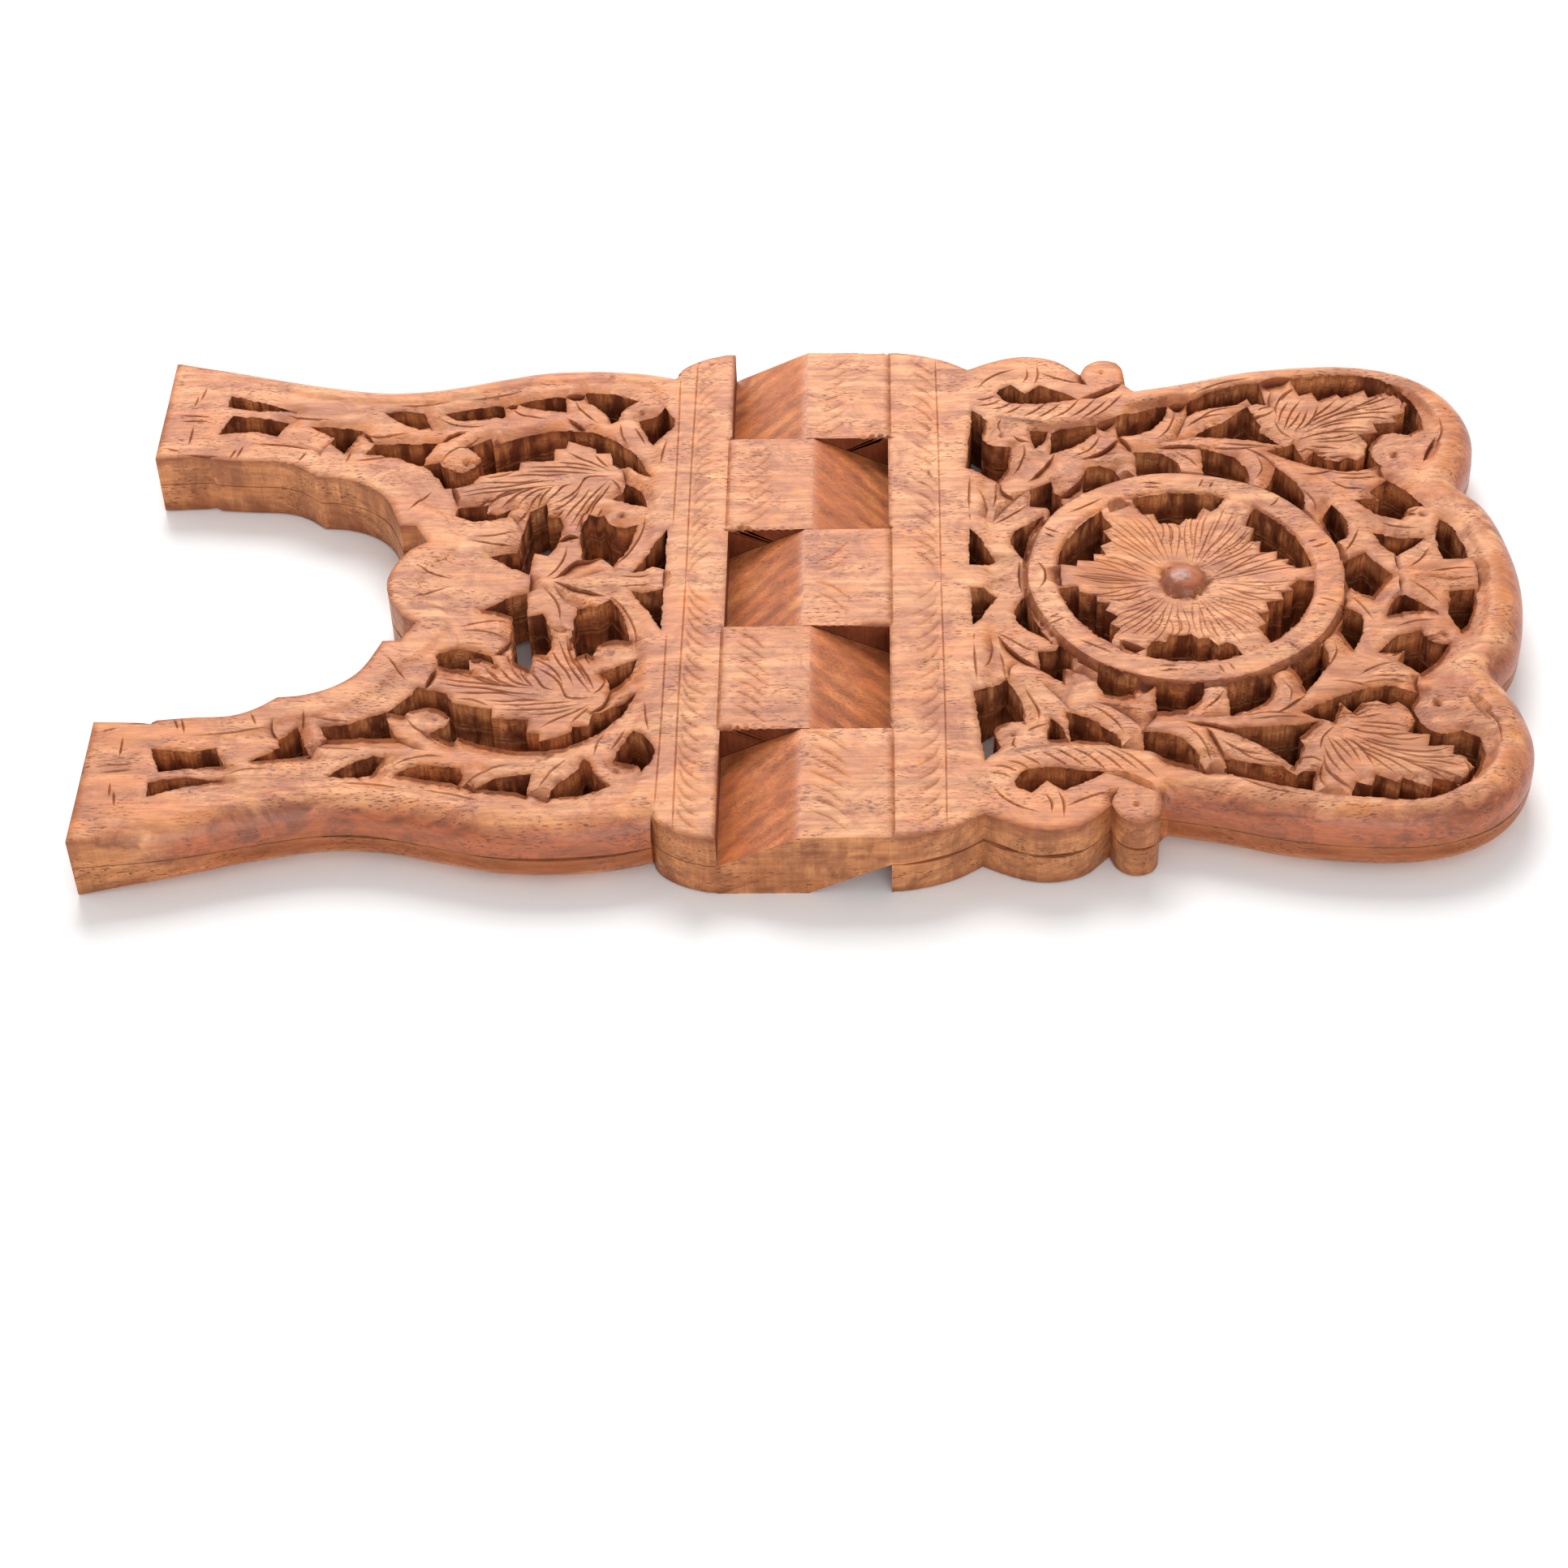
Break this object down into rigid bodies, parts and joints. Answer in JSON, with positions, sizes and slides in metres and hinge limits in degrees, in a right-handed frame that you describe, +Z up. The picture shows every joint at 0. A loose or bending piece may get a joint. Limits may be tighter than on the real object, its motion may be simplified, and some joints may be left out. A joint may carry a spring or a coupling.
{
  "type": "folding book stand",
  "caption": "Carved wooden folding book stand: two interlocked leaves cut from one plank, linked by integral knuckles, shown folded flat.",
  "frame": {"origin": "middle of the underside of the folded stand's box", "axes": "+X from the legs towards the book rest, along the grain; +Y along the hinge line; +Z up out of the folded stand's upper face"},
  "size_m": [0.401, 0.21, 0.0212],
  "materials": {
    "carved_wood": "oiled rosewood with a soft sheen, hand carved and knife cut"
  },
  "bodies": {
    "lower_rest_leaf": {"two_knuckle_leaf": "carved_wood"},
    "upper_rest_leaf": {"three_knuckle_leaf": "carved_wood"}
  },
  "joints": [
    {"name": "leaf_hinge", "type": "hinge", "parent": "lower_rest_leaf", "child": "upper_rest_leaf", "pos_m": [-0.0035, 0, 0.0106], "axis": [0, -1, 0], "range_deg": [0, 130]}
  ]
}
